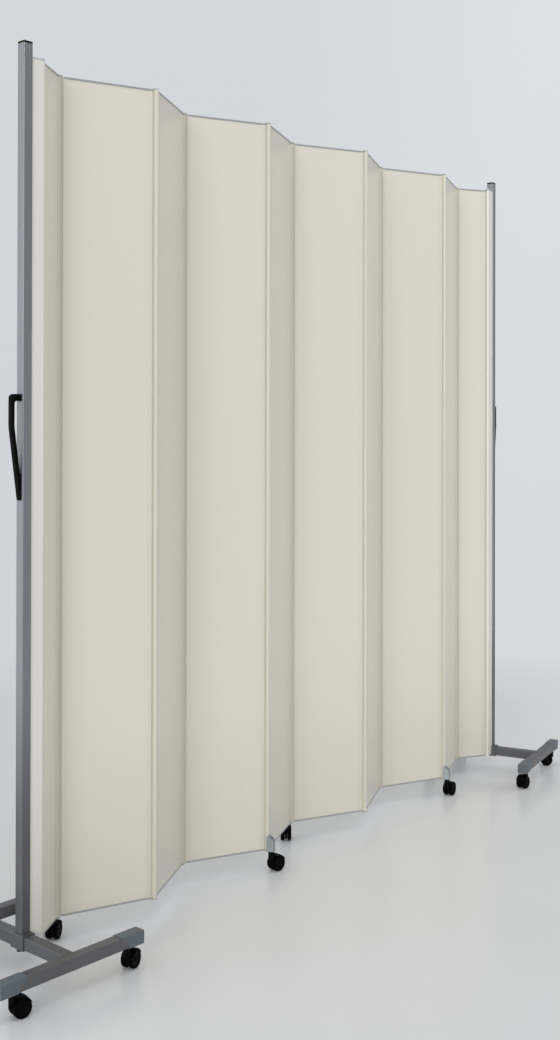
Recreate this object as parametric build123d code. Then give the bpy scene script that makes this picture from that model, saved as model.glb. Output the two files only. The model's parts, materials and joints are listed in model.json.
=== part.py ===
from build123d import *
import math
import os

# Mobile folding ward screen: ten hinged boards in a zigzag between two end posts on wheeled feet.
# Millimetres. X runs along the screen, Y from front to back, Z up. The origin is on the floor, under
# the middle of the whole as it stands.

# Boards
panel_height = 1773.0
floor_clearance = 52.0
panel_pitch = 222.0
half_pitch = panel_pitch / 2
board_thickness = 5.0
# Turn of each board off the line of the screen as it stands; the last board closes the line.
rest_folds_deg = (30.0, 22.0, 27.0, 25.0, 23.0, 25.0, 24.0, 23.5, 21.5)

# Channels round a board
channel_wall = 1.0
channel_back = 2.0
channel_lip = 8.0
trim_height = 4.2
slip_gap = 0.05

# Hinges: a bead turning in a slotted socket
bead_radius = 4.7
hinge_clearance = 0.06
socket_wall = 2.24
neck_thickness = 2.4
neck_clearance = 0.5
fold_gap = 1.6
bead_end_gap = 0.5
plug_thickness = 2.0
most_fold_deg = 132.0
most_end_fold_deg = 84.0
sweep_steps = 4

# End profiles between post and first board
end_profile_reach = 29.0
end_profile_wall = 2.0
end_profile_rise = 3.5
end_lip_width = 1.6
end_lip_height = 0.6
notch_gap = 0.3

# Posts
post_width = 22.0
post_wall = 1.5
post_corner = 2.5
post_rise = 27.0
cap_thickness = 4.5
cap_depth = 18.0
cap_edge = 1.2
plug_gap = 0.2

# Handles
handle_bottom = 938.0
handle_length = 212.0
handle_projection = 24.0
handle_toe = 3.0
handle_grip = 8.0
handle_lower_foot = 54.0
handle_upper_foot = 14.0
handle_shoulder = 65.0
handle_width = 13.0
handle_edge = 2.0

# Foot frames
foot_width = 25.0
foot_wall = 1.5
foot_corner = 2.0
foot_base = 48.0
foot_reach = 155.0
cross_half_length = 174.0
sleeve_wall = 2.5
sleeve_half_length = 20.0
clamp_head_radius = 5.0
clamp_head_height = 5.0
clamp_offset = 8.0

# End caps of the cross tubes
end_cap_length = 60.0
end_cap_wall = 1.0
end_cap_end = 4.0
end_cap_cut = 20.0
end_cap_edge = 1.5
stem_inset = 35.0

# Caster brackets on the hinge lines
bracket_half_width = 8.2
bracket_reach = 20.5
bracket_top = 87.0
bracket_bottom = 49.5
bracket_slant = 12.0
bracket_corner = 4.0
bracket_gap = 0.4
bracket_stem_offset = 12.0

# Casters
wheel_radius = 18.5
wheel_width = 10.0
wheel_edge = 2.0
caster_trail = 15.5
hood_web = 7.5
hood_gap = 0.5
hood_disc_radius = 15.5
fender_gap = 0.8
fender_thickness = 1.6
fender_inset = 1.0
fender_from_deg = 20.0
fender_to_deg = 120.0
axle_radius = 3.0
axle_clearance = 0.05
stem_radius = 4.0
stem_clearance = 0.05
stem_length = 22.0
collar_radius = 7.5
collar_root = 8.0
seat_gap = 0.3

# One overrun for every cut
overrun = 1.0

# Turn of each stand about its hinge line, as it stands
stand_turns_deg = {"left": -3.0, "right": 11.0}

# Casters as they stand: turn of each wheel about its stem, and which hinge lines carry one
stand_swivels_deg = {
    "left": {"front_left": -15.0, "front_right": 15.0, "rear_left": -53.0, "rear_right": -20.0},
    "right": {"front_left": 180.0, "front_right": 127.0, "rear_left": -135.0, "rear_right": -127.0},
}
bracket_swivels_deg = {1: 30.0, 4: -9.0, 5: 39.0, 8: 6.0}

# Values that follow from the sizes above
panel_top = floor_clearance + panel_height
bore_radius = bead_radius + hinge_clearance
socket_radius = bore_radius + socket_wall
channel_half = board_thickness / 2 + channel_wall
slot_half = board_thickness / 2 + slip_gap
socket_edge = socket_radius + channel_back
bead_edge = socket_radius + fold_gap + channel_back
end_profile_top = panel_top + end_profile_rise
post_top = panel_top + post_rise
post_centre = end_profile_reach + post_width / 2
foot_top = foot_base + foot_width
foot_middle = foot_base + foot_width / 2
sleeve_half_width = foot_width / 2 + sleeve_wall
sleeve_overhang = sleeve_half_width - post_width / 2
post_foot = foot_top + sleeve_wall
stand_seat = foot_base - end_cap_wall
cap_half = foot_width / 2 + end_cap_wall
cap_room = cross_half_length - end_cap_end


def rect(x0, x1, y0, y1):
    """Rectangle between two corners."""
    return Pos((x0 + x1) / 2, (y0 + y1) / 2) * Rectangle(abs(x1 - x0), abs(y1 - y0))


def block(x0, x1, y0, y1, z0, z1):
    """Box between two corners."""
    return Pos((x0 + x1) / 2, (y0 + y1) / 2, (z0 + z1) / 2) * Box(abs(x1 - x0), abs(y1 - y0), abs(z1 - z0))


def upright(section, z0, z1):
    """Section drawn in plan, raised from one height to another."""
    return extrude(Pos(0, 0, z0) * section, amount=z1 - z0, dir=(0, 0, 1))


def polar(radius, angle_deg):
    angle = math.radians(angle_deg)
    return (radius * math.cos(angle), radius * math.sin(angle))


nodes = {}


def save(node, *solids):
    """Keep the solids of one node until the whole stands complete."""
    nodes[node] = list(solids)


def write_nodes():
    """Move the whole so that the origin is under its middle, and write each node, its solids kept apart."""
    middle = Compound(children=[solid for solids in nodes.values() for solid in solids]).bounding_box().center()
    to_origin = Pos(-middle.X, -middle.Y, 0)
    for node, solids in nodes.items():
        export_step(Compound(children=[to_origin * solid for solid in solids]), f"parts/{node}.step")
    return middle


# Hinge profiles, drawn with the hinge axis at the origin and the board along +X

def neck_sweep(first_deg, last_deg):
    """Room that the neck of a bead needs between two directions about the axis."""
    reach = socket_radius + overrun
    half = neck_thickness / 2 + neck_clearance
    step = (last_deg - first_deg) / sweep_steps
    corner_radius = reach / math.cos(math.radians(step / 2))
    fan = [polar(corner_radius, first_deg + step * i) for i in range(sweep_steps + 1)]
    room = Polygon((0, 0), *fan, align=None)
    for direction in (first_deg, last_deg):
        room += Rot(0, 0, direction) * rect(0, reach, -half, half)
    return room


def channel(edge):
    """Channel for a board whose edge stands at a distance from the hinge axis."""
    outline = rect(edge - channel_back, edge + channel_lip, -channel_half, channel_half)
    return outline - rect(edge, edge + channel_lip + overrun, -slot_half, slot_half)


def socket_profile():
    """Socket, closed towards -Y and slotted towards +Y, with the channel of its board."""
    root = rect(bore_radius + socket_wall / 2, socket_edge, -channel_half, channel_half)
    section = Circle(socket_radius) + root + channel(socket_edge)
    section -= rect(socket_edge, socket_edge + channel_lip + overrun, -slot_half, slot_half)
    section -= Circle(bore_radius)
    section -= neck_sweep(180 - most_fold_deg, 180)
    return upright(section, floor_clearance, panel_top)


def bead_profile():
    """Bead on its neck, with the channel of its board."""
    neck = rect(0, bead_edge - channel_back / 2, -neck_thickness / 2, neck_thickness / 2)
    bead = upright(Circle(bead_radius) + neck, floor_clearance + bead_end_gap, panel_top - bead_end_gap)
    return bead + upright(channel(bead_edge), floor_clearance, panel_top)


def end_plugs(top):
    """Discs that close a socket at both ends, the upper one at its own height."""
    disc = Circle(socket_radius)
    return [
        upright(disc, top, top + plug_thickness),
        upright(disc, floor_clearance - plug_thickness, floor_clearance),
    ]


def end_profile():
    """Box section from a post to the first hinge axis, which is at the origin; the post is at -X."""
    far = -end_profile_reach
    lip = socket_radius + end_lip_height
    inner = socket_radius - end_profile_wall
    section = rect(far, 0, -socket_radius, socket_radius) + Circle(socket_radius)
    section += rect(far, far + end_lip_width, -lip, lip)
    section -= rect(far + end_profile_wall, -socket_radius, -inner, inner)
    section -= Circle(bore_radius)
    section -= neck_sweep(0, most_end_fold_deg)
    profile = upright(section, floor_clearance, end_profile_top)
    sleeve_side = far + sleeve_overhang + notch_gap
    side = lip + overrun
    return profile - block(far - overrun, sleeve_side, -side, side, 0, post_foot + notch_gap)


# Boards

def edge_trim(start, end, top):
    """Thin channel along the top or bottom edge of a board."""
    outer = panel_top if top else floor_clearance
    inward = -1 if top else 1
    trim = block(start, end, -channel_half, channel_half, outer, outer + inward * trim_height)
    room_from = outer + inward * channel_wall
    room_to = outer + inward * (trim_height + overrun)
    return trim - block(start - overrun, end + overrun, -slot_half, slot_half, room_from, room_to)


def panel_sides(number):
    """Kinds of profile on the left and right edge of a board."""
    if number % 2 == 0:
        return ("bead", "bead")
    return ("bead" if number == 1 else "socket", "socket")


def panel_width(number):
    return half_pitch if number in (1, panel_count) else panel_pitch


def build_panel(number):
    """Board and edging in the panel's own frame: left hinge axis at the origin, board along +X."""
    width = panel_width(number)
    left, right = panel_sides(number)
    reach = {"bead": bead_edge, "socket": socket_edge}
    board = block(
        reach[left], width - reach[right], -board_thickness / 2, board_thickness / 2,
        floor_clearance + channel_wall, panel_top - channel_wall,
    )
    lip_start = reach[left] + channel_lip
    lip_end = width - reach[right] - channel_lip
    edging = [edge_trim(lip_start, lip_end, top) for top in (True, False)]
    to_left = Location((0, 0, 0))
    to_right = Pos(width, 0, 0) * Rot(0, 0, 180)
    for side, place in ((left, to_left), (right, to_right)):
        if side == "socket":
            edging += [place * piece for piece in [socket_profile()] + end_plugs(panel_top)]
        else:
            edging.append(place * bead_profile())
    return board, edging


def stem_bore():
    """Bore for a caster stem, to be cut with its mouth at the origin."""
    return Cylinder(stem_radius + stem_clearance, 2 * (stem_length + overrun))


# Caster brackets, in the frame of a socket at the origin whose board runs along +X

def caster_bracket():
    """Block on the closed side of a socket, bored from below for a caster stem."""
    near = -channel_half - bracket_gap
    body = block(-bracket_half_width, bracket_half_width, -bracket_reach, near, bracket_bottom, bracket_top)
    outer = body.edges().filter_by(Axis.Z).sort_by(Axis.Y)[:2]
    body = fillet(outer, bracket_corner)
    jaw_end = -neck_thickness / 2 - neck_clearance
    body += block(-bracket_half_width, 0, near, jaw_end, bracket_bottom, bracket_top)
    slant_depth = bracket_reach - socket_radius
    slant = Polygon(
        (-socket_radius, bracket_top), (-socket_radius, bracket_top + overrun),
        (-bracket_reach - overrun, bracket_top + overrun),
        (-bracket_reach - overrun, bracket_top - bracket_slant * (slant_depth + overrun) / slant_depth),
        align=None,
    )
    body -= extrude(Plane.YZ * slant, amount=bracket_half_width + overrun, both=True)
    body -= upright(Circle(socket_radius + slip_gap), 0, bracket_top + overrun)
    return body - Pos(0, -bracket_stem_offset, bracket_bottom) * stem_bore()


# Casters, stem axis at the origin and wheels trailing towards +X

def caster_hood(seat):
    """Hood and stem of a caster whose collar turns under a seat at some height."""
    axle = (caster_trail, 0, wheel_radius)
    across = Plane.XZ

    def drum(radius, length):
        """Cylinder on the axle's line."""
        return Pos(*axle) * Rot(90, 0, 0) * Cylinder(radius, length)

    full_width = hood_web + 2 * (hood_gap + wheel_width - fender_inset)
    fender_inner = wheel_radius + fender_gap
    fender_outer = fender_inner + fender_thickness
    collar_top = seat - seat_gap
    wedge_points = [polar(2 * fender_outer, angle) for angle in
                    (fender_from_deg, (fender_from_deg + fender_to_deg) / 2, fender_to_deg)]
    wedge = Polygon((0, 0), *wedge_points, align=None)
    sector = Pos(*axle) * extrude(across * wedge, amount=full_width, both=True)
    fender = drum(fender_outer, full_width) - drum(fender_inner, full_width + overrun)
    fender = fender & sector
    web_half = hood_web / 2
    web = drum(hood_disc_radius, hood_web)
    web += drum(fender_outer, hood_web) & sector
    collar_base = wheel_radius + collar_root
    collar = upright(Circle(collar_radius), collar_base, collar_top)
    collar -= drum(fender_inner, full_width + overrun)
    web += block(-collar_radius, caster_trail, -web_half, web_half, collar_base, wheel_radius + fender_inner)
    stem = upright(Circle(stem_radius), collar_top - overrun, seat + stem_length)
    hood = fender + web + collar + stem
    return hood - drum(axle_radius + axle_clearance, full_width)


def caster_wheels():
    """Two wheels joined by their axle."""
    inner = hood_web / 2 + hood_gap
    pair = Pos(0, 0, 0) * Cylinder(axle_radius, 2 * inner + wheel_width)
    for side in (1, -1):
        wheel = Cylinder(wheel_radius, wheel_width)
        rim = wheel.edges().filter_by(GeomType.CIRCLE).sort_by(Axis.Z)[-1 if side == 1 else 0]
        wheel = fillet(rim, wheel_edge)
        pair += Pos(0, 0, side * (inner + wheel_width / 2)) * wheel
    return Pos(caster_trail, 0, wheel_radius) * Rot(90, 0, 0) * pair


def save_caster(name, x, y, seat, swivel_deg):
    """Both nodes of a caster, its stem at a place in plan."""
    place = Pos(x, y, 0) * Rot(0, 0, swivel_deg)
    save(f"caster_hood_{name}", place * caster_hood(seat))
    save(f"caster_wheels_{name}", place * caster_wheels())


# Stands, in the frame of a post at the origin; the screen is towards +X

def square_tube(width, wall, corner, length):
    """Square tube along Z, centred."""
    section = fillet(Rectangle(width, width).vertices(), corner)
    bore = width - 2 * wall
    section -= fillet(Rectangle(bore, bore).vertices(), corner - wall / 2)
    return Pos(0, 0, -length / 2) * extrude(section, amount=length)


def build_post():
    length = post_top - post_foot
    tube = Pos(0, 0, post_foot + length / 2) * square_tube(post_width, post_wall, post_corner, length)
    face = post_width / 2
    lid = block(-face, face, -face, face, post_top, post_top + cap_thickness)
    lid = fillet(lid.edges().filter_by(Axis.Z), post_corner)
    lid = chamfer(lid.faces().sort_by(Axis.Z)[-1].edges(), cap_edge)
    half = post_width / 2 - post_wall - plug_gap
    plug = block(-half, half, -half, half, post_top - cap_depth, post_top)
    plug = fillet(plug.edges().filter_by(Axis.Z), post_corner)
    return tube, lid + plug


def build_handle():
    """Pull handle on the outer face of the post, wider at its foot than at its head."""
    face = -post_width / 2
    top = handle_bottom + handle_length
    out = face - handle_projection
    toe = face - handle_toe
    outline = Polygon(
        (face, handle_bottom), (toe, handle_bottom), (out, top - handle_shoulder), (out, top), (face, top),
        align=None,
    )
    inner = out + handle_grip
    gap_base = handle_bottom + handle_lower_foot
    gap_top = top - handle_upper_foot
    gap = Polygon(
        (face + overrun, gap_base), (toe, gap_base), (inner, top - handle_shoulder), (inner, gap_top),
        (face + overrun, gap_top), align=None,
    )
    handle = extrude(Plane.XZ * (outline - gap), amount=handle_width / 2, both=True)
    outer = handle.faces().sort_by(Axis.X)[0]
    return fillet(outer.edges().filter_by(Axis.Z), handle_edge)


def build_foot_frame():
    """Sleeve, foot tube, clamp screw and the two cross tubes with their stem holes."""
    head_top = foot_base - sleeve_wall
    sleeve = block(
        -sleeve_half_width, sleeve_half_width, -sleeve_half_length, sleeve_half_length,
        head_top, foot_top + sleeve_wall,
    )
    sleeve = fillet(sleeve.edges().filter_by(Axis.Y), foot_corner)
    room = foot_width / 2 + slip_gap
    bore_half = sleeve_half_length + overrun
    sleeve -= block(-room, room, -bore_half, bore_half, foot_middle - room, foot_middle + room)
    foot_length = 2 * foot_reach - foot_width
    along_y = Pos(0, 0, foot_middle) * Rot(90, 0, 0)
    foot = along_y * square_tube(foot_width, foot_wall, foot_corner, foot_length)
    screw = Pos(-clamp_offset, 0) * upright(Circle(clamp_head_radius), head_top - clamp_head_height, head_top)
    pieces = [sleeve, foot, screw]
    tube_length = 2 * cap_room
    for side in (-1, 1):
        tube = Rot(0, 90, 0) * square_tube(foot_width, foot_wall, foot_corner, tube_length)
        tube = Pos(0, side * foot_reach, foot_middle) * tube
        for end in (-1, 1):
            hole = Cylinder(stem_radius + stem_clearance, foot_width)
            tube -= Pos(end * (cross_half_length - stem_inset), side * foot_reach, foot_base) * hole
        pieces.append(tube)
    return pieces


def end_cap():
    """Cap for the +X end of a cross tube on the X axis, with a seat and bore for a caster stem."""
    start = cross_half_length - end_cap_length
    base = foot_middle - cap_half
    cap = block(start, cross_half_length, -cap_half, cap_half, base, foot_middle + cap_half)
    outer_face = cap.faces().sort_by(Axis.X)[-1]
    cap = fillet(outer_face.edges() + cap.edges().filter_by(Axis.X), end_cap_edge)
    room = foot_width / 2 + slip_gap
    cap -= block(start - overrun, cap_room, -room, room, foot_middle - room, foot_middle + room)
    cap -= Pos(start, 0, base) * Rot(90, 0, 0) * Cylinder(end_cap_cut, 2 * cap_half + overrun)
    core = foot_width / 2 - foot_wall - plug_gap
    plug_end = cross_half_length - end_cap_end / 2
    plug = block(start, plug_end, -core, core, foot_middle - core, foot_middle + core)
    cap += fillet(plug.edges().filter_by(Axis.X), foot_corner - foot_wall / 2)
    return cap - Pos(cross_half_length - stem_inset, 0, stand_seat) * stem_bore()


def build_end_caps():
    caps = [Rot(0, 0, turn) * end_cap() for turn in (0, 180)]
    return [Pos(0, side * foot_reach, 0) * cap for side in (-1, 1) for cap in caps]


def save_stand(side, hinge, outward):
    """All nodes of a stand; outward is -1 at the left end and 1 at the right end of the screen."""
    place = Pos(*hinge, 0) * Rot(0, 0, stand_turns_deg[side]) * Pos(outward * post_centre, 0, 0)

    def placed(piece):
        return place * (mirror(piece, about=Plane.YZ) if outward == 1 else piece)

    post, cap = build_post()
    save(f"post_{side}", placed(post))
    save(f"post_cap_{side}", placed(cap))
    save(f"handle_{side}", placed(build_handle()))
    save(f"foot_frame_{side}", *[placed(piece) for piece in build_foot_frame()])
    save(f"end_caps_{side}", *[placed(piece) for piece in build_end_caps()])
    profile = [Pos(post_centre, 0, 0) * piece for piece in [end_profile()] + end_plugs(end_profile_top)]
    save(f"end_profile_{side}", *[placed(piece) for piece in profile])
    stem = cross_half_length - stem_inset
    for corner, swivel in stand_swivels_deg[side].items():
        row, column = corner.split("_")
        along = stem if column == "right" else -stem
        back = foot_reach if row == "rear" else -foot_reach
        spot = (place * Pos(along, back, 0)).position
        save_caster(f"{side}_{corner}", spot.X, spot.Y, stand_seat, swivel)


# The line of the screen

panel_count = len(rest_folds_deg) + 1


def hinge_line():
    """Hinge axes in plan and the heading of each board; even boards turn back towards the front."""
    spots = [(0.0, 0.0)]
    headings = []
    for number in range(1, panel_count + 1):
        x, y = spots[-1]
        width = panel_width(number)
        if number < panel_count:
            fold = rest_folds_deg[number - 1]
        else:
            fold = math.degrees(math.asin(y / width))
        heading = fold if number % 2 == 1 else -fold
        step = polar(width, heading)
        spots.append((x + step[0], y + step[1]))
        headings.append(heading)
    shift = spots[-1][0] / 2
    return [(x - shift, y) for x, y in spots], headings


def main():
    os.makedirs("parts", exist_ok=True)
    spots, headings = hinge_line()
    for number, heading in enumerate(headings, start=1):
        place = Pos(*spots[number - 1], 0) * Rot(0, 0, heading)
        board, edging = build_panel(number)
        save(f"board_{number}", place * board)
        save(f"edging_{number}", *[place * piece for piece in edging])
    for line, swivel in bracket_swivels_deg.items():
        # An odd line ends the board on its left; an even line begins the board on its right.
        carrier = line if line % 2 == 1 else line + 1
        heading = headings[carrier - 1] + (180 if line % 2 == 1 else 0)
        place = Pos(*spots[line], 0) * Rot(0, 0, heading)
        save(f"caster_bracket_{line}", place * caster_bracket())
        offset = polar(bracket_stem_offset, heading - 90)
        x, y = spots[line]
        save_caster(f"line_{line}", x + offset[0], y + offset[1], bracket_bottom, swivel)
    save_stand("left", spots[0], -1)
    save_stand("right", spots[-1], 1)
    middle = write_nodes()
    print(f"middle before the move: {middle.X:.6f} {middle.Y:.6f}")
    for index, (x, y) in enumerate(spots):
        print(f"hinge line {index}: {x - middle.X:.3f} {y - middle.Y:.3f}")
    print("headings", [round(h, 3) for h in headings])


main()
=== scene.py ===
import json
import math

import bmesh
import bpy
from mathutils import Matrix, Vector

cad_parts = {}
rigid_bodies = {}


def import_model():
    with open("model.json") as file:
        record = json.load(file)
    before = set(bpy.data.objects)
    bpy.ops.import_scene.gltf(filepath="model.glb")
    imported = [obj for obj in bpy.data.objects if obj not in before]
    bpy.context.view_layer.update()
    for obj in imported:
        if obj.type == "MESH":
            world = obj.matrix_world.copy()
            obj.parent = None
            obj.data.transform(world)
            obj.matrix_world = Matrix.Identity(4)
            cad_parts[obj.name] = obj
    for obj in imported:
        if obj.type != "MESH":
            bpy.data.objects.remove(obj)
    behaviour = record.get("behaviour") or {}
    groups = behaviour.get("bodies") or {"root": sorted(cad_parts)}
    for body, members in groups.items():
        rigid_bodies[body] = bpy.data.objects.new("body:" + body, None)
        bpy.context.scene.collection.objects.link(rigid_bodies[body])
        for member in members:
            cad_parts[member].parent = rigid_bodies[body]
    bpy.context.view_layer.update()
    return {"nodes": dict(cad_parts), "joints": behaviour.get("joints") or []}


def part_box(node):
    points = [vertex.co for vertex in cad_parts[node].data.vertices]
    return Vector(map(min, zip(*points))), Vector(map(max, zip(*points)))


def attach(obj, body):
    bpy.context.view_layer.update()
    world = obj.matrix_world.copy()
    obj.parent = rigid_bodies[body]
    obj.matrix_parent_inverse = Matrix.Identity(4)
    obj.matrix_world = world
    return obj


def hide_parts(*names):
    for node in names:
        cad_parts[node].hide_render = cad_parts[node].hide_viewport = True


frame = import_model()
joints = {joint["name"]: joint for joint in frame["joints"]}
scene = bpy.context.scene

# Lengths are in metres and angles in degrees; the lens is in millimetres
MM = 0.001

# Viewpoint of the photograph
CAMERA_PLACE = (-2.616756, -1.991412, 1.0927)
CAMERA_YAW = 51.287
CAMERA_PITCH = 0.302
CAMERA_ROLL = 0.114
CAMERA_LENS = 43.878
CAMERA_SHIFT_Y = -0.0994
CAMERA_SENSOR = 36

# Boards and hinges
BOARD_COUNT = 10
CHANNEL_WALL = 1 * MM
PANEL_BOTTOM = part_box("board_1")[0].z - CHANNEL_WALL
PANEL_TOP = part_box("board_1")[1].z + CHANNEL_WALL
TRIM_HEIGHT = 4.2 * MM
BARREL_RADIUS = 7 * MM
BORE_REACH = 6.95 * MM
BEAD_REACH = 8.55 * MM
TRIM_START = 9.2 * MM

# Casters: the wheel's size and trail come from the joints
WHEEL_RADIUS = joints["roll_line_1"]["pos_m"][2]
TRAIL = (Vector(joints["roll_line_1"]["pos_m"]) - Vector(joints["swivel_line_1"]["pos_m"])).xy.length
WHEEL_INNER = 4.25 * MM
WHEEL_OUTER = 14.25 * MM
TYRE_ROOT = 13.4 * MM
AXLE_RADIUS = 2.95 * MM
WEB_HALF = 3.75 * MM
WEB_RADIUS = 15.5 * MM
FENDER_HALF = 13.25 * MM
FENDER_INNER = WHEEL_RADIUS + 0.8 * MM
FENDER_OUTER = FENDER_INNER + 1.6 * MM
FENDER_FROM_DEG = 20
FENDER_TO_DEG = 120
COLLAR_RADIUS = 7.5 * MM
COLLAR_BASE = WHEEL_RADIUS + 8 * MM
SEAT_GAP = 0.3 * MM
STEM_RADIUS = 4 * MM
STEM_LENGTH = 22 * MM
TYRE_EASE = 0.4 * MM
TYRE_INNER_SHOULDER = 1.4 * MM
TYRE_OUTER_SHOULDER = 2.8 * MM
GROOVE_HALF = 0.9 * MM
GROOVE_DEPTH = 0.5 * MM
GROOVE_EASE = 0.2 * MM
HUB_CAP_RADIUS = 5 * MM
HUB_RIM_RADIUS = 12 * MM
HUB_DISH = 2.4 * MM
HUB_SEAT = 0.1 * MM
FENDER_EASE = 0.7 * MM
WEB_EASE = 0.5 * MM
COLLAR_EASE = 0.6 * MM
COLLAR_HOLLOW = FENDER_INNER + 0.4 * MM
FENDER_STEPS = 22
WHEEL_STEPS = 72
STEM_STEPS = 48

# Handles, from the outer face of the post
POST_HALF = 11 * MM
HANDLE_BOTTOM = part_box("handle_left")[0].z
HANDLE_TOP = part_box("handle_left")[1].z
HANDLE_REACH = 24 * MM
HANDLE_HALF = 6.5 * MM
HANDLE_TOE = 3 * MM
HANDLE_GRIP = 8 * MM
HANDLE_SHOULDER = 65 * MM
HANDLE_LOWER_FOOT = 54 * MM
HANDLE_UPPER_FOOT = 14 * MM
HANDLE_ROUNDING = 2.4 * MM
HANDLE_FOOT_EASE = 1.2 * MM
HANDLE_TOE_EASE = 1.4 * MM
HANDLE_GAP_EASE = 1.5 * MM
HANDLE_BEND = 60 * MM
HANDLE_INNER_BEND = 52 * MM
HANDLE_TOP_BEND = 9 * MM
HANDLE_INNER_TOP_BEND = 5 * MM

# Screws and bolts
BRACKET_REACH = 20.5 * MM
BRACKET_SLANT = 12 * MM
BRACKET_SCREW_RADIUS = 2.6 * MM
BRACKET_SCREW_HEIGHT = 1.3 * MM
BRACKET_SCREW_SOCKET = 1.4 * MM
CLAMP_OFFSET = 8 * MM
CLAMP_HALF_FLATS = 5.15 * MM
CLAMP_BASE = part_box("foot_frame_left")[0].z
CLAMP_HEAD = 5 * MM
SLEEVE_BASE = CLAMP_BASE + CLAMP_HEAD
HEXAGON = 6


# Shader building

class Signal:
    """A number that varies over a surface; arithmetic on it adds Math nodes to its finish."""

    def __init__(self, finish, socket):
        self.finish = finish
        self.socket = socket

    def math(self, operation, *inputs):
        sockets = {index: value for index, value in enumerate(inputs)}
        made = self.finish.node("Math", {"operation": operation}, sockets)
        return Signal(self.finish, made.outputs[0])

    def __add__(self, other):
        return self.math("ADD", self, other)

    def __radd__(self, other):
        return self.math("ADD", other, self)

    def __sub__(self, other):
        return self.math("SUBTRACT", self, other)

    def __rsub__(self, other):
        return self.math("SUBTRACT", other, self)

    def __mul__(self, other):
        return self.math("MULTIPLY", self, other)

    def __rmul__(self, other):
        return self.math("MULTIPLY", other, self)

    def __pow__(self, other):
        return self.math("POWER", self, other)

    def __gt__(self, other):
        return self.math("GREATER_THAN", self, other)

    def __lt__(self, other):
        return self.math("LESS_THAN", self, other)

    def clamp(self):
        return self.math("MINIMUM", self.math("MAXIMUM", self, 0.0), 1.0)

    def step(self, low, high):
        """0 below low, 1 above high and a smooth rise between."""
        settings = {"interpolation_type": "SMOOTHSTEP"}
        made = self.finish.node("MapRange", settings, {"Value": self, "From Min": low, "From Max": high})
        return Signal(self.finish, made.outputs[0])


class Finish:
    """A node tree under construction, with the few patterns that the finishes share."""

    def __init__(self, tree):
        self.tree = tree
        self.tree.nodes.clear()

    def node(self, kind, settings, sockets):
        """Adds a node: its settings first, then a value or a link for each socket."""
        made = self.tree.nodes.new("ShaderNode" + kind)
        for name, value in settings.items():
            setattr(made, name, value)
        for name, value in sockets.items():
            if isinstance(value, Signal):
                value = value.socket
            if isinstance(value, bpy.types.NodeSocket):
                self.tree.links.new(value, made.inputs[name])
            else:
                made.inputs[name].default_value = value
        return made

    def place(self):
        """Position on the piece, in metres."""
        return self.node("TexCoord", {}, {}).outputs["Object"]

    def height(self):
        return Signal(self, self.node("SeparateXYZ", {}, {0: self.place()}).outputs["Z"])

    def stretched(self, scale):
        """Position, scaled by a factor for each axis."""
        made = self.node("VectorMath", {"operation": "MULTIPLY"}, {0: self.place(), 1: scale})
        return made.outputs[0]

    def noise(self, scale, detail, roughness, vector=None):
        sockets = {"Vector": vector or self.place(), "Scale": scale, "Detail": detail, "Roughness": roughness}
        return Signal(self, self.node("TexNoise", {"noise_dimensions": "3D"}, sockets).outputs[0])

    def cells(self, scale):
        """Distance to the nearest of many scattered points."""
        sockets = {"Vector": self.place(), "Scale": scale}
        return Signal(self, self.node("TexVoronoi", {"feature": "F1"}, sockets).outputs["Distance"])

    def edges(self, radius):
        """1 along sharp edges, 0 on flat faces."""
        rounded = self.node("Bevel", {"samples": 4}, {"Radius": radius}).outputs[0]
        plain = self.node("NewGeometry", {}, {}).outputs["Normal"]
        facing = self.node("VectorMath", {"operation": "DOT_PRODUCT"}, {0: rounded, 1: plain})
        return (1.0 - Signal(self, facing.outputs["Value"])).step(0.01, 0.22)

    def openness(self, reach):
        """0 deep in a gap, 1 where nothing stands within reach."""
        made = self.node("AmbientOcclusion", {"samples": 6}, {"Distance": reach})
        return Signal(self, made.outputs["AO"])

    def mix(self, share, first, second):
        """Colour between two colours."""
        settings = {"data_type": "RGBA", "clamp_factor": True}
        return self.node("Mix", settings, {0: share, 6: first, 7: second}).outputs[2]

    def bump(self, height, strength, distance):
        sockets = {"Strength": strength, "Distance": distance, "Height": height}
        return self.node("Bump", {}, sockets).outputs[0]

    def surface(self, sockets):
        shader = self.node("BsdfPrincipled", {}, sockets)
        self.node("OutputMaterial", {}, {"Surface": shader.outputs[0]})


def new_finish(name):
    material = bpy.data.materials.new(name)
    material.use_nodes = True
    return material, Finish(material.node_tree)


def colour(red, green, blue):
    """Linear colour from the 0 to 255 values that a screen shows."""
    shares = [channel / 255 for channel in (red, green, blue)]
    linear = [share / 12.92 if share <= 0.04045 else ((share + 0.055) / 1.055) ** 2.4 for share in shares]
    return (*linear, 1.0)


# Colours and finishes

LAMINATE_PALE = colour(233, 229, 217)
LAMINATE_DEEP = colour(226, 222, 208)
LOW_SHADE_AND_SCUFF = colour(176, 171, 156)
LOW_SHADE_REACH = 0.5
EXTRUSION_PALE = colour(232, 228, 214)
EXTRUSION_DEEP = colour(222, 217, 201)
EXTRUSION_EDGE_WEAR_AND_HIGHLIGHT = colour(240, 238, 230)
# Paler copy of the extrusion cream, painted light for the end profiles
END_PALE_PAINTED_LIGHT = colour(242, 240, 232)
END_DEEP_PAINTED_LIGHT = colour(235, 232, 222)
PAINT_PALE = colour(147, 150, 156)
PAINT_DEEP = colour(124, 127, 133)
PAINT_EDGE_WEAR_AND_HIGHLIGHT = colour(196, 198, 202)
PAINT_LOW_SHADE = colour(96, 96, 98)
PAINT_LOW_SHADE_TOP = 0.6
TRIM_PALE = colour(170, 172, 172)
TRIM_DEEP = colour(150, 152, 153)
END_TRIM_PALE = colour(208, 208, 211)
END_TRIM_DEEP = colour(196, 197, 200)
# Darker cream painted as shade inside the hinges
HINGE_INSIDE_SHADE = colour(212, 207, 193)
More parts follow.
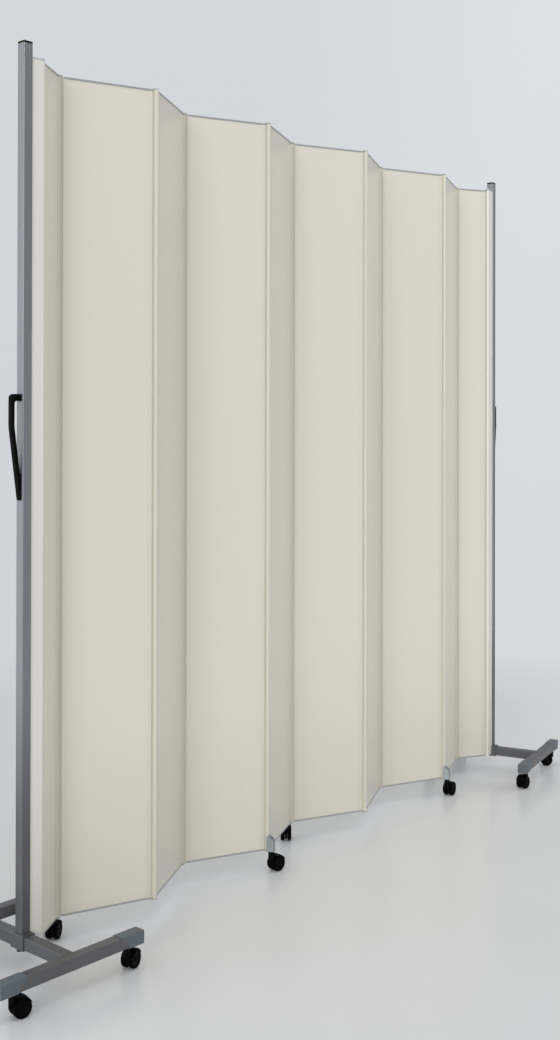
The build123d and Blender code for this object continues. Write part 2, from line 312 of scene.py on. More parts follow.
# Colour of the painted shade in gaps and crevices
CREVICE_PAINTED_SHADE = colour(164, 157, 142)
CREVICE_SHADE_REACH = 5 * MM
PLUG_START = 0.1 * MM
END_TRIM_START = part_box("end_profile_left")[1].z - 6 * MM
STEEL_PALE = colour(84, 84, 88)
STEEL_DEEP = colour(52, 52, 55)
STEEL_WORN = colour(150, 150, 152)
CAP_PALE = colour(100, 110, 118)
CAP_DEEP = colour(84, 94, 102)
BRACKET_PALE = colour(156, 162, 165)
BRACKET_DEEP = colour(140, 146, 149)
BRACKET_EDGE_WEAR_AND_HIGHLIGHT = colour(195, 198, 200)
BLACK_PALE = colour(7, 7, 8)
BLACK_DEEP = colour(2, 2, 3)
TYRE_PALE = colour(4, 4, 5)
TYRE_DEEP = colour(1, 1, 1)


def towards_floor(height):
    """0 above the low part of the boards that gets painted shade, rising to 1 just under them."""
    return 1.0 - height.step(PANEL_BOTTOM - LOW_SHADE_REACH * 0.3, PANEL_BOTTOM + LOW_SHADE_REACH)


def laminate_finish():
    """Cream wipe-clean board: pearl grain, faint clouding, and painted shade with faint scuffs towards the
    bottom.
    """
    material, finish = new_finish("cream_laminate")
    cloud = finish.noise(2.2, 2.0, 0.5, finish.stretched((1.0, 1.0, 0.35)))
    grain = finish.noise(900.0, 2.0, 0.6)
    pearl = finish.cells(420.0)
    low = towards_floor(finish.height())
    scuffs = (finish.noise(60.0, 4.0, 0.7, finish.stretched((1.0, 1.0, 0.12))) - 0.62).step(0.0, 0.16)
    tone = (cloud - 0.5) * 0.5 + (grain - 0.5) * 0.5 + 0.5
    base = finish.mix(tone.clamp(), LAMINATE_DEEP, LAMINATE_PALE)
    # Painted shade: darker towards the bottom, with faint scuff marks through it.
    base = finish.mix(low * (scuffs * 0.15 + 0.26), base, LOW_SHADE_AND_SCUFF)
    finish.surface({
        "Base Color": base,
        "Roughness": 0.30 + (grain - 0.5) * 0.10 + (cloud - 0.5) * 0.08,
        "Normal": finish.bump(pearl * 0.6 + grain * 0.4, 0.10, 0.0002),
        "Coat Weight": 0.35 + (cloud - 0.5) * 0.1,
        "Coat Roughness": 0.16,
        "IOR": 1.5,
    })
    return material


def extrusion_finish(name, axes, inside, trimmed, pale, deep):
    """Extruded cream plastic with drawn lines and grey trims and plugs; painted shade inside the hinges, in
    crevices and towards the bottom; bright edges that are partly rubbed plastic and partly painted highlight.
    """
    material, finish = new_finish(name)
    height = finish.height()
    flat = finish.stretched((1.0, 1.0, 0.0))
    axis_gap = None
    for axis in axes:
        offset = finish.node("VectorMath", {"operation": "DISTANCE"}, {0: flat, 1: axis}).outputs["Value"]
        gap = Signal(finish, offset)
        axis_gap = gap if axis_gap is None else axis_gap.math("MINIMUM", axis_gap, gap)
    plug = (height > PANEL_TOP + PLUG_START) + (height < PANEL_BOTTOM)
    trim = (height > PANEL_TOP - TRIM_HEIGHT) + (height < PANEL_BOTTOM + TRIM_HEIGHT)
    end_trim = (height > END_TRIM_START) + (height < PANEL_BOTTOM)
    grey_share = plug + trim * (axis_gap > TRIM_START) if trimmed else end_trim
    # Painted shade: surfaces inside a hinge, close to its axis, get the darker cream.
    within = (axis_gap < inside) * (height > PANEL_BOTTOM) * (height < PANEL_TOP)
    # Painted shade: the cream gets darker wherever other surfaces stand close, in gaps and crevices.
    crevice_shade = 1.0 - finish.openness(CREVICE_SHADE_REACH).step(0.1, 0.6)
    drawn = finish.noise(700.0, 2.0, 0.5, finish.stretched((1.0, 1.0, 0.004)))
    cloud = finish.noise(6.0, 2.0, 0.5, finish.stretched((1.0, 1.0, 0.2)))
    bright_edges = finish.edges(1.2 * MM)
    tone = (drawn - 0.5) * 0.8 + (cloud - 0.5) * 0.4 + 0.5
    cream = finish.mix(tone.clamp(), deep, pale)
    # Bright edges: partly rubbed plastic, partly painted highlight.
    cream = finish.mix(bright_edges * 0.35, cream, EXTRUSION_EDGE_WEAR_AND_HIGHLIGHT)
    # Painted shade: darker towards the bottom.
    cream = finish.mix(towards_floor(height) * 0.3, cream, LOW_SHADE_AND_SCUFF)
    trim_deep, trim_pale = (TRIM_DEEP, TRIM_PALE) if trimmed else (END_TRIM_DEEP, END_TRIM_PALE)
    grey = finish.mix(tone.clamp(), trim_deep, trim_pale)
    base = finish.mix(grey_share.clamp(), cream, grey)
    base = finish.mix(crevice_shade * 0.25, base, CREVICE_PAINTED_SHADE)
    finish.surface({
        "Base Color": finish.mix(within.clamp(), base, HINGE_INSIDE_SHADE),
        "Roughness": 0.34 + (drawn - 0.5) * 0.2,
        "Normal": finish.bump(drawn, 0.12, 0.0002),
        "IOR": 1.48,
    })
    return material


def paint_finish(name, deep, pale, bright, low_shade=None):
    """Powder coat: metallic fleck, orange-peel skin, bright edges that are partly rubbed paint and partly
    painted highlight, and painted shade low down.
    """
    material, finish = new_finish(name)
    fleck = finish.cells(1500.0)
    peel = finish.noise(420.0, 2.0, 0.5)
    cloud = finish.noise(9.0, 3.0, 0.5, finish.stretched((1.0, 1.0, 0.3)))
    # Bright speckled edges: partly rubbed paint, partly painted highlight.
    bright_edges = finish.edges(0.7 * MM) * finish.noise(260.0, 3.0, 0.7).step(0.5, 0.7)
    tone = (fleck - 0.4) * 0.7 + (cloud - 0.5) * 0.5 + 0.5
    base = finish.mix(tone.clamp(), deep, pale)
    # Painted shade: the paint gets darker low down, towards the floor.
    if low_shade:
        low = 1.0 - finish.height().step(PAINT_LOW_SHADE_TOP * 0.4, PAINT_LOW_SHADE_TOP)
        base = finish.mix(low * (0.85 + (cloud - 0.5) * 0.3), base, low_shade)
    finish.surface({
        "Base Color": finish.mix(bright_edges * 0.3, base, bright),
        "Metallic": 0.55 + bright_edges * 0.2,
        "Roughness": 0.36 + (peel - 0.5) * 0.16,
        "Normal": finish.bump(peel * 0.7 + fleck * 0.3, 0.18, 0.0002),
        "IOR": 1.5,
    })
    return material


def moulded_finish(name, deep, pale, roughness, grain_scale, shine):
    """Moulded plastic: fine spark-eroded grain, with rubbed edges."""
    material, finish = new_finish(name)
    grain = finish.noise(grain_scale, 3.0, 0.6)
    cloud = finish.noise(30.0, 2.0, 0.5)
    bright_edges = finish.edges(0.8 * MM)
    tone = (grain - 0.5) * 0.7 + (cloud - 0.5) * 0.6 + 0.5
    base = finish.mix(tone.clamp(), deep, pale)
    finish.surface({
        "Base Color": finish.mix(bright_edges * 0.3, base, pale),
        "Roughness": roughness + (grain - 0.5) * 0.15 - bright_edges * 0.08,
        "Normal": finish.bump(grain, 0.15, 0.0002),
        "Specular IOR Level": shine,
    })
    return material


def steel_finish():
    """Dark plated steel of screws and bolts: fine grain, and bright where the edges are rubbed."""
    material, finish = new_finish("screw_steel")
    grain = finish.noise(1400.0, 3.0, 0.6)
    bright_edges = finish.edges(0.5 * MM)
    base = finish.mix(grain.clamp(), STEEL_DEEP, STEEL_PALE)
    finish.surface({
        "Base Color": finish.mix(bright_edges * 0.6, base, STEEL_WORN),
        "Metallic": 0.9,
        "Roughness": 0.32 + (grain - 0.5) * 0.2,
        "Normal": finish.bump(grain, 0.1, 0.0001),
    })
    return material


laminate = laminate_finish()
frame_paint = paint_finish("silver_grey_paint", PAINT_DEEP, PAINT_PALE, PAINT_EDGE_WEAR_AND_HIGHLIGHT, PAINT_LOW_SHADE)
cap_plastic = moulded_finish("grey_cap_plastic", CAP_DEEP, CAP_PALE, 0.42, 700.0, 0.4)
bracket_metal = paint_finish("bracket_coat", BRACKET_DEEP, BRACKET_PALE, BRACKET_EDGE_WEAR_AND_HIGHLIGHT)
black_plastic = moulded_finish("black_plastic", BLACK_DEEP, BLACK_PALE, 0.45, 900.0, 0.06)
wheel_rubber = moulded_finish("wheel_tread", TYRE_DEEP, TYRE_PALE, 0.6, 1300.0, 0.04)
screw_steel = steel_finish()

FINISH_OF_NODE = {
    "board": laminate,
    "post": frame_paint,
    "foot_frame": frame_paint,
    "end_caps": cap_plastic,
    "caster_bracket": bracket_metal,
    "caster_hood": black_plastic,
    "caster_wheels": wheel_rubber,
    "post_cap": black_plastic,
    "handle": black_plastic,
}


def dress(piece, finish):
    piece.data.materials.clear()
    piece.data.materials.append(finish)


def hinge_axis(line):
    x, y, _ = joints[f"fold_{line}"]["pos_m"]
    return (x, y, 0.0)


def dress_extrusions():
    """One finish for each board's edging and each end profile, because the hinge axes differ."""
    for board in range(1, BOARD_COUNT + 1):
        axes = (hinge_axis(board - 1), hinge_axis(board))
        inside = BORE_REACH if board % 2 else BEAD_REACH
        finish = extrusion_finish(f"extrusion_{board}", axes, inside, True, EXTRUSION_PALE, EXTRUSION_DEEP)
        dress(frame["nodes"][f"edging_{board}"], finish)
    for side, line in (("left", 0), ("right", BOARD_COUNT)):
        axes = (hinge_axis(line),)
        # Painted light: the end profiles get a paler copy of the cream so that their faces look as lit as the
        # boards.
        finish = extrusion_finish(f"extrusion_{side}", axes, BORE_REACH, False, END_PALE_PAINTED_LIGHT, END_DEEP_PAINTED_LIGHT)
        dress(frame["nodes"][f"end_profile_{side}"], finish)


for name, node in frame["nodes"].items():
    starts = [start for start in FINISH_OF_NODE if name.startswith(start)]
    if starts:
        dress(node, FINISH_OF_NODE[max(starts, key=len)])
dress_extrusions()


# Mesh building

CREASE_DEG = 38


def skin(rings, closed=False):
    """Surface through rings of points; its ends are capped, or joined where the rings go round."""
    mesh = bmesh.new()
    loops = [[mesh.verts.new(point) for point in ring] for ring in rings]
    following = loops[1:] + (loops[:1] if closed else [])
    for first, second in zip(loops, following):
        for index in range(len(first)):
            after = (index + 1) % len(first)
            mesh.faces.new((first[index], first[after], second[after], second[index]))
    if not closed:
        mesh.faces.new(loops[0])
        mesh.faces.new(loops[-1])
    bmesh.ops.recalc_face_normals(mesh, faces=mesh.faces)
    return mesh


def lathe(profile, place, count):
    """Rings of a turned shape: place says where a radius, a distance along the axis and a turn lie."""
    turns = [2 * math.pi * index / count for index in range(count)]
    return [[place(radius, along, turn) for turn in turns] for radius, along in profile]


def rounded(corners, steps=5):
    """Points of an outline, drawn anticlockwise with round corners, each with its outward normal.

    A corner is its two coordinates, its radius and the share of a rim's rounding that it takes.
    """
    points = []
    for index, (across, up, radius, softness) in enumerate(corners):
        here = Vector((across, up))
        arriving = (here - Vector(corners[index - 1][:2])).normalized()
        leaving = (Vector(corners[(index + 1) % len(corners)][:2]) - here).normalized()
        turn = math.atan2(arriving.x * leaving.y - arriving.y * leaving.x, arriving.dot(leaving))
        side = 1 if turn > 0 else -1
        outward = Vector((arriving.y, -arriving.x))
        centre = here - arriving * radius * math.tan(abs(turn) / 2) - outward * radius * side
        for step in range(steps + 1):
            normal = Matrix.Rotation(turn * step / steps, 2) @ outward
            points.append((centre + normal * radius * side, normal * softness))
    return points


def slab(outline, half, edge, steps):
    """Rings of a plate that is centred across Y, its outline in X and Z and its rims rounded."""
    rings = []
    for side in (-1, 1):
        for step in range(steps + 1):
            tilt = (step if side < 0 else steps - step) / steps * math.pi / 2
            inset = edge * (1 - math.sin(tilt))
            along = side * (half - edge + edge * math.cos(tilt))
            places = [point - out * inset for point, out in outline]
            rings.append([(place.x, along, place.y) for place in places])
    return rings


def dressed_data(data, finish):
    """Gives mesh data its finish and makes it smooth but for its creases."""
    data.shade_smooth()
    data.set_sharp_from_angle(angle=math.radians(CREASE_DEG))
    data.materials.clear()
    data.materials.append(finish)
    return data


def finished_mesh(name, mesh, finish):
    data = bpy.data.meshes.new(name)
    mesh.to_mesh(data)
    mesh.free()
    return dressed_data(data, finish)


def union(name, parts, finish):
    """One closed surface made from overlapping ones."""
    holders = []
    for index, part in enumerate(parts):
        label = f"{name}_{index}"
        holder = bpy.data.objects.new(label, finished_mesh(label, part, finish))
        scene.collection.objects.link(holder)
        holders.append(holder)
    for other in holders[1:]:
        join = holders[0].modifiers.new("union", "BOOLEAN")
        join.operation = "UNION"
        join.solver = "EXACT"
        join.object = other
    bpy.context.view_layer.update()
    joined = holders[0].evaluated_get(bpy.context.evaluated_depsgraph_get())
    data = bpy.data.meshes.new_from_object(joined)
    data.name = name
    for holder in holders:
        bpy.data.meshes.remove(holder.data)
    return dressed_data(data, finish)


def add_piece(name, data, body, place=Matrix.Identity(4), replaced=()):
    piece = bpy.data.objects.new(name, data)
    scene.collection.objects.link(piece)
    piece.matrix_world = place
    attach(piece, body)
    if replaced:
        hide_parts(*replaced)


# Casters, each in its own frame: stem axis at the origin, axle along Y, wheels trailing towards +X

def about_axle(radius, along, turn):
    return Vector((TRAIL + radius * math.cos(turn), along, WHEEL_RADIUS + radius * math.sin(turn)))


def about_stem(radius, along, turn):
    return Vector((radius * math.cos(turn), radius * math.sin(turn), along))


def tyre_mesh():
    """Two tyres with rounded shoulders and a shallow groove round each tread."""
    both = bmesh.new()
    middle = (WHEEL_INNER + WHEEL_OUTER) / 2
    for side in (-1, 1):
        corners = [
            (TYRE_ROOT, WHEEL_INNER, TYRE_EASE, 0), (WHEEL_RADIUS, WHEEL_INNER, TYRE_INNER_SHOULDER, 0),
            (WHEEL_RADIUS, middle - GROOVE_HALF, GROOVE_EASE, 0),
            (WHEEL_RADIUS - GROOVE_DEPTH, middle, GROOVE_EASE, 0),
            (WHEEL_RADIUS, middle + GROOVE_HALF, GROOVE_EASE, 0),
            (WHEEL_RADIUS, WHEEL_OUTER, TYRE_OUTER_SHOULDER, 0),
            (TYRE_ROOT, WHEEL_OUTER - TYRE_EASE, TYRE_EASE, 0),
        ]
        profile = [(point.x, side * point.y) for point, _ in rounded(corners)]
        tyre = skin(lathe(profile, about_axle, WHEEL_STEPS), closed=True)
        whole = bpy.data.meshes.new("tyre")
        tyre.to_mesh(whole)
        tyre.free()
        both.from_mesh(whole)
        bpy.data.meshes.remove(whole)
    return both


def hub_mesh():
    """Both hubs and the axle between them, turned as one: a dished disc with a domed cap outside."""
    face = WHEEL_OUTER
    half = [
        (HUB_CAP_RADIUS * 0.05, face - HUB_DISH * 0.25), (HUB_CAP_RADIUS * 0.6, face - HUB_DISH * 0.32),
        (HUB_CAP_RADIUS * 0.9, face - HUB_DISH * 0.5), (HUB_CAP_RADIUS, face - HUB_DISH * 0.7),
        (HUB_CAP_RADIUS * 1.03, face - HUB_DISH), (HUB_RIM_RADIUS * 0.9, face - HUB_DISH * 0.9),
        (HUB_RIM_RADIUS, face - HUB_DISH * 0.6), (HUB_RIM_RADIUS * 1.04, face - TYRE_EASE),
        (TYRE_ROOT + HUB_SEAT, face - TYRE_EASE * 2), (TYRE_ROOT + HUB_SEAT, WHEEL_INNER + TYRE_EASE),
        (TYRE_ROOT - HUB_SEAT, WHEEL_INNER), (AXLE_RADIUS, WHEEL_INNER),
    ]
    profile = half + [(radius, -along) for radius, along in reversed(half)]
    return skin(lathe(profile, about_axle, WHEEL_STEPS))


def fender_mesh():
    """Curved guard over both wheels, its rims rounded and its two ends eased."""
    low = FENDER_INNER
    high = FENDER_OUTER
    corners = [
        (low, -FENDER_HALF, FENDER_EASE * 0.6, 0), (high - FENDER_EASE, -FENDER_HALF, FENDER_EASE, 0),
        (high, -FENDER_HALF * 0.6, FENDER_HALF * 0.3, 0), (high, FENDER_HALF * 0.6, FENDER_HALF * 0.3, 0),
        (high - FENDER_EASE, FENDER_HALF, FENDER_EASE, 0), (low, FENDER_HALF, FENDER_EASE * 0.6, 0),
    ]
    section = [point for point, _ in rounded(corners, 4)]
    middle = Vector(((low + high) / 2, 0.0))
    first, last = math.radians(FENDER_FROM_DEG), math.radians(FENDER_TO_DEG)
    ease = FENDER_EASE / high
    stations = [(first, 0.7), (first + ease * 0.4, 0.9), (first + ease, 1.0)]
    span = last - first - 2 * ease
    stations += [(first + ease + span * step / FENDER_STEPS, 1.0) for step in range(1, FENDER_STEPS)]
    stations += [(last - ease, 1.0), (last - ease * 0.4, 0.9), (last, 0.7)]
    rings = []
    for turn, share in stations:
        ring = []
        for point in section:
            radius = middle.x + (point.x - middle.x) * share
            shift = point.y - math.copysign(FENDER_EASE * (1 - share), point.y)
            ring.append(about_axle(radius, shift, turn))
        rings.append(ring)
    return skin(rings)


def web_mesh():
    """Plate between the wheels that joins the collar, the axle's boss and the fender."""
    first, last = math.radians(FENDER_FROM_DEG), math.radians(FENDER_TO_DEG)
    reach = (FENDER_INNER + FENDER_OUTER) / 2
    arc_steps = 24
    arc = []
    for step in range(arc_steps + 1):
        turn = first + (last - first) * step / arc_steps
        arc.append((TRAIL + reach * math.cos(turn), WHEEL_RADIUS + reach * math.sin(turn)))
    collar = [(-COLLAR_RADIUS * 0.8, WHEEL_RADIUS + FENDER_INNER * 0.9), (-COLLAR_RADIUS * 0.9, COLLAR_BASE)]
    boss = []
    boss_from = math.pi * 0.92
    boss_to = first + 2 * math.pi
    for step in range(arc_steps + 1):
        turn = boss_from + (boss_to - boss_from) * step / arc_steps
        boss.append((TRAIL + WEB_RADIUS * math.cos(turn), WHEEL_RADIUS + WEB_RADIUS * math.sin(turn)))
    corners = [(across, up, WEB_EASE, 1.0) for across, up in arc + collar + boss]
    return skin(slab(rounded(corners, 1), WEB_HALF, WEB_EASE, 2))


def collar_mesh(seat):
    """Collar under the seat, hollowed for the wheels, with its grooved head and its stem."""
    top = seat - SEAT_GAP
    profile = [
        (COLLAR_RADIUS * 0.86, COLLAR_BASE), (COLLAR_RADIUS, COLLAR_BASE + COLLAR_EASE),
        (COLLAR_RADIUS, top - 5 * COLLAR_EASE), (COLLAR_RADIUS - COLLAR_EASE, top - 4.4 * COLLAR_EASE),
        (COLLAR_RADIUS - COLLAR_EASE, top - 3.4 * COLLAR_EASE), (COLLAR_RADIUS, top - 2.8 * COLLAR_EASE),
        (COLLAR_RADIUS, top - COLLAR_EASE), (COLLAR_RADIUS - COLLAR_EASE, top), (STEM_RADIUS, top),
        (STEM_RADIUS, seat + STEM_LENGTH - COLLAR_EASE), (STEM_RADIUS - COLLAR_EASE, seat + STEM_LENGTH),
    ]

    def clear_of_wheels(radius, along, turn):
        point = about_stem(radius, along, turn)
        beside = TRAIL - point.x
        if abs(beside) < COLLAR_HOLLOW:
            point.z = max(point.z, WHEEL_RADIUS + math.sqrt(COLLAR_HOLLOW ** 2 - beside ** 2))
        return point

    return skin(lathe(profile, clear_of_wheels, STEM_STEPS))


def caster_frame(name):
    """Where a caster's own frame stands, from its two joints."""
    stem = Vector(joints[f"swivel_{name}"]["pos_m"])
    trail = Vector(joints[f"roll_{name}"]["pos_m"]) - stem
    return Matrix.Translation((stem.x, stem.y, 0.0)) @ Matrix.Rotation(math.atan2(trail.y, trail.x), 4, "Z")


def add_casters():
    """Hood, hubs and tyres of every caster; casters with the same seat share their meshes."""
    tyres = finished_mesh("caster_tyres", tyre_mesh(), wheel_rubber)
    hubs = finished_mesh("caster_hubs", hub_mesh(), black_plastic)
    hoods = {}
    for joint in joints:
        if not joint.startswith("swivel_"):
            continue
        name = joint.removeprefix("swivel_")
        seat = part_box(f"caster_hood_{name}")[1].z - STEM_LENGTH
        key = round(seat / MM)
        if key not in hoods:
            parts = [collar_mesh(seat), web_mesh(), fender_mesh()]
            hoods[key] = union(f"caster_hood_shell_{key}", parts, black_plastic)
        place = caster_frame(name)
        add_piece(f"hood_shell_{name}", hoods[key], joint, place, (f"caster_hood_{name}",))
        add_piece(f"tyres_{name}", tyres, f"wheels_{name}", place, (f"caster_wheels_{name}",))
        add_piece(f"hubs_{name}", hubs, f"wheels_{name}", place, (f"caster_wheels_{name}",))


# Handles

def stand_frame(side):
    """Where a stand's own frame stands: the middle of its four swivels, X along the screen."""
    stems = [Vector(joint["pos_m"]) for name, joint in joints.items() if name.startswith(f"swivel_{side}_")]
    middle = sum(stems, Vector()) / len(stems)
    first = Vector(joints[f"swivel_{side}_front_left"]["pos_m"])
    along = Vector(joints[f"swivel_{side}_front_right"]["pos_m"]) - first
    turn = Matrix.Rotation(math.atan2(along.y, along.x), 4, "Z")
    return Matrix.Translation((middle.x, middle.y, 0.0)) @ turn


def handle_mesh():
    """Bow handle in its own frame: the post's face at the origin, the grip towards +X."""
    inner = HANDLE_REACH - HANDLE_GRIP
    shoulder = HANDLE_TOP - HANDLE_SHOULDER
    gap_base = HANDLE_BOTTOM + HANDLE_LOWER_FOOT
    gap_top = HANDLE_TOP - HANDLE_UPPER_FOOT
    corners = [
        (0.0, HANDLE_BOTTOM, HANDLE_FOOT_EASE, 0.4), (HANDLE_TOE, HANDLE_BOTTOM, HANDLE_TOE_EASE, 0.4),
        (HANDLE_REACH, shoulder, HANDLE_BEND, 1.0), (HANDLE_REACH, HANDLE_TOP, HANDLE_TOP_BEND, 1.0),
        (0.0, HANDLE_TOP, HANDLE_FOOT_EASE, 0.4), (0.0, gap_top, HANDLE_FOOT_EASE, 0.4),
        (inner, gap_top, HANDLE_INNER_TOP_BEND, 1.0), (inner, shoulder, HANDLE_INNER_BEND, 1.0),
        (HANDLE_TOE, gap_base, HANDLE_GAP_EASE, 0.6), (0.0, gap_base, HANDLE_FOOT_EASE, 0.4),
    ]
    return skin(slab(rounded(corners, 8), HANDLE_HALF, HANDLE_ROUNDING, 5))


def add_handles():
    """The same handle on the outer face of both posts."""
    data = finished_mesh("pull_handle", handle_mesh(), black_plastic)
    for side, outward, turn in (("left", -1, math.pi), ("right", 1, 0.0)):
        face = Matrix.Translation((outward * POST_HALF, 0.0, 0.0))
        place = stand_frame(side) @ face @ Matrix.Rotation(turn, 4, "Z")
        add_piece(f"pull_handle_{side}", data, f"stand_{side}", place, (f"handle_{side}",))


# Screws and bolts

def bracket_screw_mesh():
    """Round-headed screw along Z with a hexagon socket; its seat is at the origin."""
    radius, height, socket = BRACKET_SCREW_RADIUS, BRACKET_SCREW_HEIGHT, BRACKET_SCREW_SOCKET
    flat = math.pi / HEXAGON

    def place(size, along, turn):
        """Inside the socket the round wall becomes a hexagon."""
        hexagon = math.cos(flat) / math.cos((turn + flat) % (2 * flat) - flat)
        return about_stem(size * hexagon if size <= socket else size, along, turn)

    profile = [
        (socket * 0.1, height * 0.35), (socket * 0.98, height * 0.35), (socket, height * 0.98),
        (radius * 0.75, height), (radius * 0.92, height * 0.86), (radius, height * 0.55),
        (radius, -height * 0.3), (radius * 0.3, -height * 0.3),
    ]
    return skin(lathe(profile, place, STEM_STEPS))


def add_bracket_screws():
    """One dark screw on the slanted shoulder of each caster bracket."""
    data = finished_mesh("bracket_screw", bracket_screw_mesh(), screw_steel)
    rise = BRACKET_REACH - BARREL_RADIUS
    for name in frame["nodes"]:
        if not name.startswith("caster_bracket_"):
            continue
        line = name.removeprefix("caster_bracket_")
        axis = Vector(hinge_axis(line))
        stem = Vector(joints[f"swivel_line_{line}"]["pos_m"])
        away = Vector((stem.x - axis.x, stem.y - axis.y, 0.0)).normalized()
        normal = (away * BRACKET_SLANT + Vector((0.0, 0.0, rise))).normalized()
        middle = axis + away * (BRACKET_REACH + BARREL_RADIUS) / 2
        middle.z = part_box(name)[1].z - BRACKET_SLANT / 2
        place = Matrix.Translation(middle) @ normal.to_track_quat("Z", "Y").to_matrix().to_4x4()
        body = joints[f"swivel_line_{line}"]["parent"]
        add_piece(f"bracket_screw_{line}", data, body, place)


def clamp_bolt_mesh():
    """Hexagon head with chamfers at both ends, hanging from the sleeve at the origin."""
    height = SLEEVE_BASE - CLAMP_BASE
    end = CLAMP_HALF_FLATS * 1.02
    corner = CLAMP_HALF_FLATS * 1.155
    profile = [(end, -height * 1.02), (corner, -height * 0.86), (corner, -height * 0.14), (end, 0.0)]
    return skin(lathe(profile, about_stem, HEXAGON))


def add_clamp_bolts():
    """Dark bolt under each sleeve, over the plain head of the frame."""
    data = finished_mesh("clamp_bolt", clamp_bolt_mesh(), screw_steel)
    for side, outward in (("left", -1), ("right", 1)):
        place = stand_frame(side) @ Matrix.Translation((outward * CLAMP_OFFSET, 0.0, SLEEVE_BASE))
        add_piece(f"clamp_bolt_{side}", data, f"stand_{side}", place)


add_casters()
add_handles()
add_bracket_screws()
add_clamp_bolts()


# Floor, light and camera

FLOOR_RADIUS = 3.2
FLOOR_FADE = (1.7, 3.1)
FLOOR_PALE = colour(235, 236, 237)
FLOOR_DEEP = colour(227, 228, 229)
WALL_LOW = colour(214, 217, 221)
WALL_HIGH = colour(221, 224, 228)
WALL_LEFT = colour(202, 206, 209)
WALL_ACROSS = (0.6253, -0.7804, 0.0)
BACK_GLOW_DIRECTION = (-0.64, 0.765, 0.05)
BACK_GLOW = (1.3, 1.32, 1.36, 1.0)
SURROUND_DIRECTION = (-0.85, 0.1, 0.5)
SURROUND_DIM = (0.42, 0.42, 0.42, 1.0)
SURROUND_BRIGHT = (0.80, 0.82, 0.85, 1.0)
WINDOW_LIGHT_DIRECTION = (-0.9, -0.43, 0.22)
WINDOW_LIGHT_STRENGTH = 0.95
WINDOW_LIGHT_SPREAD_DEG = 28
WINDOW_LIGHT_TINT = (1.0, 0.99, 0.97)
FILL_PLACE = (3.3, -1.4, 1.8)
FILL_TARGET = (0.8, 0.0, 0.9)
FILL_SIZE = (1.6, 1.6)
FILL_POWER = 14
TOP_PLACE = (0.2, -0.8, 4.2)
TOP_TARGET = (0.0, 0.0, 0.6)
TOP_SIZE = (3.4, 2.4)
TOP_POWER = 15


def floor_disc():
    """Pale sealed floor that fades out into the backdrop."""
    mesh = bmesh.new()
    bmesh.ops.create_circle(mesh, cap_ends=True, radius=FLOOR_RADIUS, segments=96)
    data = bpy.data.meshes.new("floor")
    mesh.to_mesh(data)
    mesh.free()
    disc = bpy.data.objects.new("floor", data)
    scene.collection.objects.link(disc)
    material, finish = new_finish("pale_floor")
    cloud = finish.noise(1.6, 3.0, 0.6)
    grain = finish.noise(260.0, 3.0, 0.6)
    base = finish.mix(((cloud - 0.5) * 0.8 + (grain - 0.5) * 0.2 + 0.5).clamp(), FLOOR_DEEP, FLOOR_PALE)
    shader = finish.node("BsdfPrincipled", {}, {
        "Base Color": base,
        "Roughness": 0.16 + cloud * 0.08,
        "IOR": 1.5,
    })
    reach = finish.node("VectorMath", {"operation": "LENGTH"}, {0: finish.place()}).outputs["Value"]
    gone = Signal(finish, reach).step(*FLOOR_FADE)
    clear = finish.node("BsdfTransparent", {}, {})
    both = finish.node("MixShader", {}, {0: gone, 1: shader.outputs[0], 2: clear.outputs[0]})
    finish.node("OutputMaterial", {}, {"Surface": both.outputs[0]})
    dress(disc, material)


def light_panel(name, place, target, size, power, mirrored):
    """Large soft white light that looks at a point; one that isn't mirrored leaves no highlight."""
    lamp = bpy.data.lights.new(name, "AREA")
    lamp.shape = "RECTANGLE"
    lamp.size = size[0]
    lamp.size_y = size[1]
    lamp.energy = power
    holder = bpy.data.objects.new(name, lamp)
    holder.location = place
    holder.rotation_euler = (Vector(target) - Vector(place)).to_track_quat("-Z", "Y").to_euler()
    holder.visible_camera = False
    holder.visible_glossy = mirrored
    scene.collection.objects.link(holder)


def far_window():
    """Light of a large far window, equal all along the screen."""
    lamp = bpy.data.lights.new("far_window", "SUN")
    lamp.energy = WINDOW_LIGHT_STRENGTH
    lamp.angle = math.radians(WINDOW_LIGHT_SPREAD_DEG)
    lamp.color = WINDOW_LIGHT_TINT
    holder = bpy.data.objects.new("far_window", lamp)
    holder.rotation_euler = Vector(WINDOW_LIGHT_DIRECTION).to_track_quat("Z", "Y").to_euler()
    scene.collection.objects.link(holder)


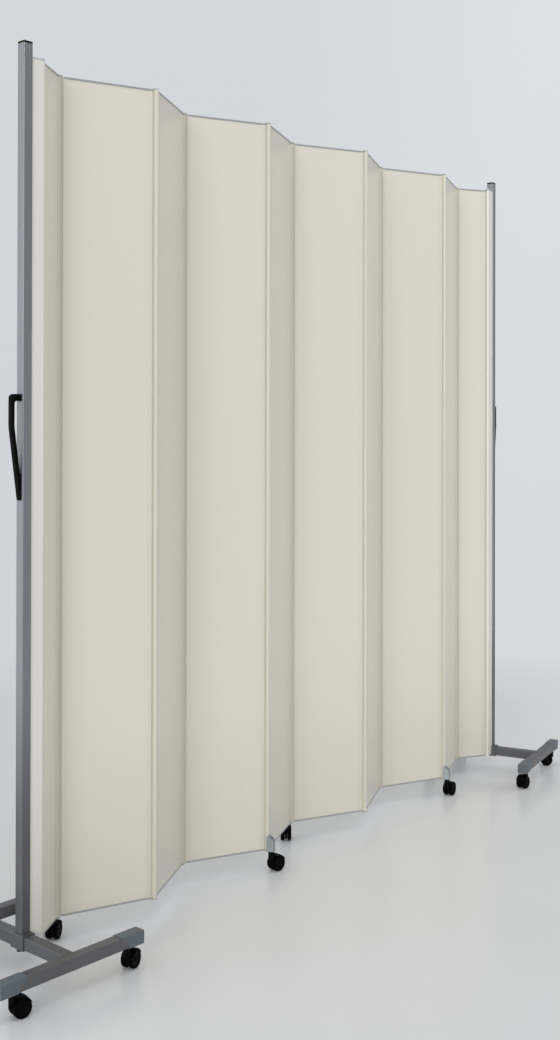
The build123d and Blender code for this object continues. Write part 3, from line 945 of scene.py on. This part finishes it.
def studio_world():
    """Pale surround, brighter from the left; the camera sees a plain wall, deeper at its left."""
    world = bpy.data.worlds.new("studio")
    world.use_nodes = True
    scene.world = world
    finish = Finish(world.node_tree)
    direction = finish.node("TexCoord", {}, {}).outputs["Generated"]
    towards = finish.node("VectorMath", {"operation": "DOT_PRODUCT"}, {0: direction, 1: SURROUND_DIRECTION})
    side = Signal(finish, towards.outputs["Value"]) * 0.5 + 0.5
    behind = finish.node("VectorMath", {"operation": "DOT_PRODUCT"}, {0: direction, 1: BACK_GLOW_DIRECTION})
    glow = Signal(finish, behind.outputs["Value"]).step(0.82, 1.0)
    surround = finish.mix(side ** 1.5, SURROUND_DIM, SURROUND_BRIGHT)
    light = finish.node("Background", {}, {
        "Color": finish.mix(glow, surround, BACK_GLOW),
        "Strength": 1.0,
    })
    height = Signal(finish, finish.node("SeparateXYZ", {}, {0: direction}).outputs["Z"])
    across = finish.node("VectorMath", {"operation": "DOT_PRODUCT"}, {0: direction, 1: WALL_ACROSS})
    left = 1.0 - Signal(finish, across.outputs["Value"]).step(-0.02, 0.2)
    plain = finish.mix(height.step(-0.25, 0.35), WALL_LOW, WALL_HIGH)
    wall = finish.node("Background", {}, {
        "Color": finish.mix(left * 0.5, plain, WALL_LEFT),
        "Strength": 1.0,
    })
    seen = finish.node("LightPath", {}, {}).outputs["Is Camera Ray"]
    both = finish.node("MixShader", {}, {0: seen, 1: light.outputs[0], 2: wall.outputs[0]})
    finish.node("OutputWorld", {}, {"Surface": both.outputs[0]})


def camera():
    yaw, pitch, roll = (math.radians(angle) for angle in (CAMERA_YAW, CAMERA_PITCH, CAMERA_ROLL))
    right = Vector((math.cos(yaw), -math.sin(yaw), 0.0))
    ahead = Vector((math.sin(yaw) * math.cos(pitch), math.cos(yaw) * math.cos(pitch), math.sin(pitch)))
    up = right.cross(ahead)
    rolled_right = right * math.cos(roll) + up * math.sin(roll)
    rolled_up = up * math.cos(roll) - right * math.sin(roll)
    lens = bpy.data.cameras.new("camera")
    lens.lens = CAMERA_LENS
    lens.sensor_width = CAMERA_SENSOR
    lens.shift_y = CAMERA_SHIFT_Y
    holder = bpy.data.objects.new("camera", lens)
    turn = Matrix((rolled_right, rolled_up, -ahead)).transposed()
    holder.matrix_world = Matrix.Translation(CAMERA_PLACE) @ turn.to_4x4()
    scene.collection.objects.link(holder)
    scene.camera = holder


floor_disc()
far_window()
light_panel("fill", FILL_PLACE, FILL_TARGET, FILL_SIZE, FILL_POWER, False)
light_panel("top", TOP_PLACE, TOP_TARGET, TOP_SIZE, TOP_POWER, True)
studio_world()
camera()
scene.view_settings.view_transform = "Standard"
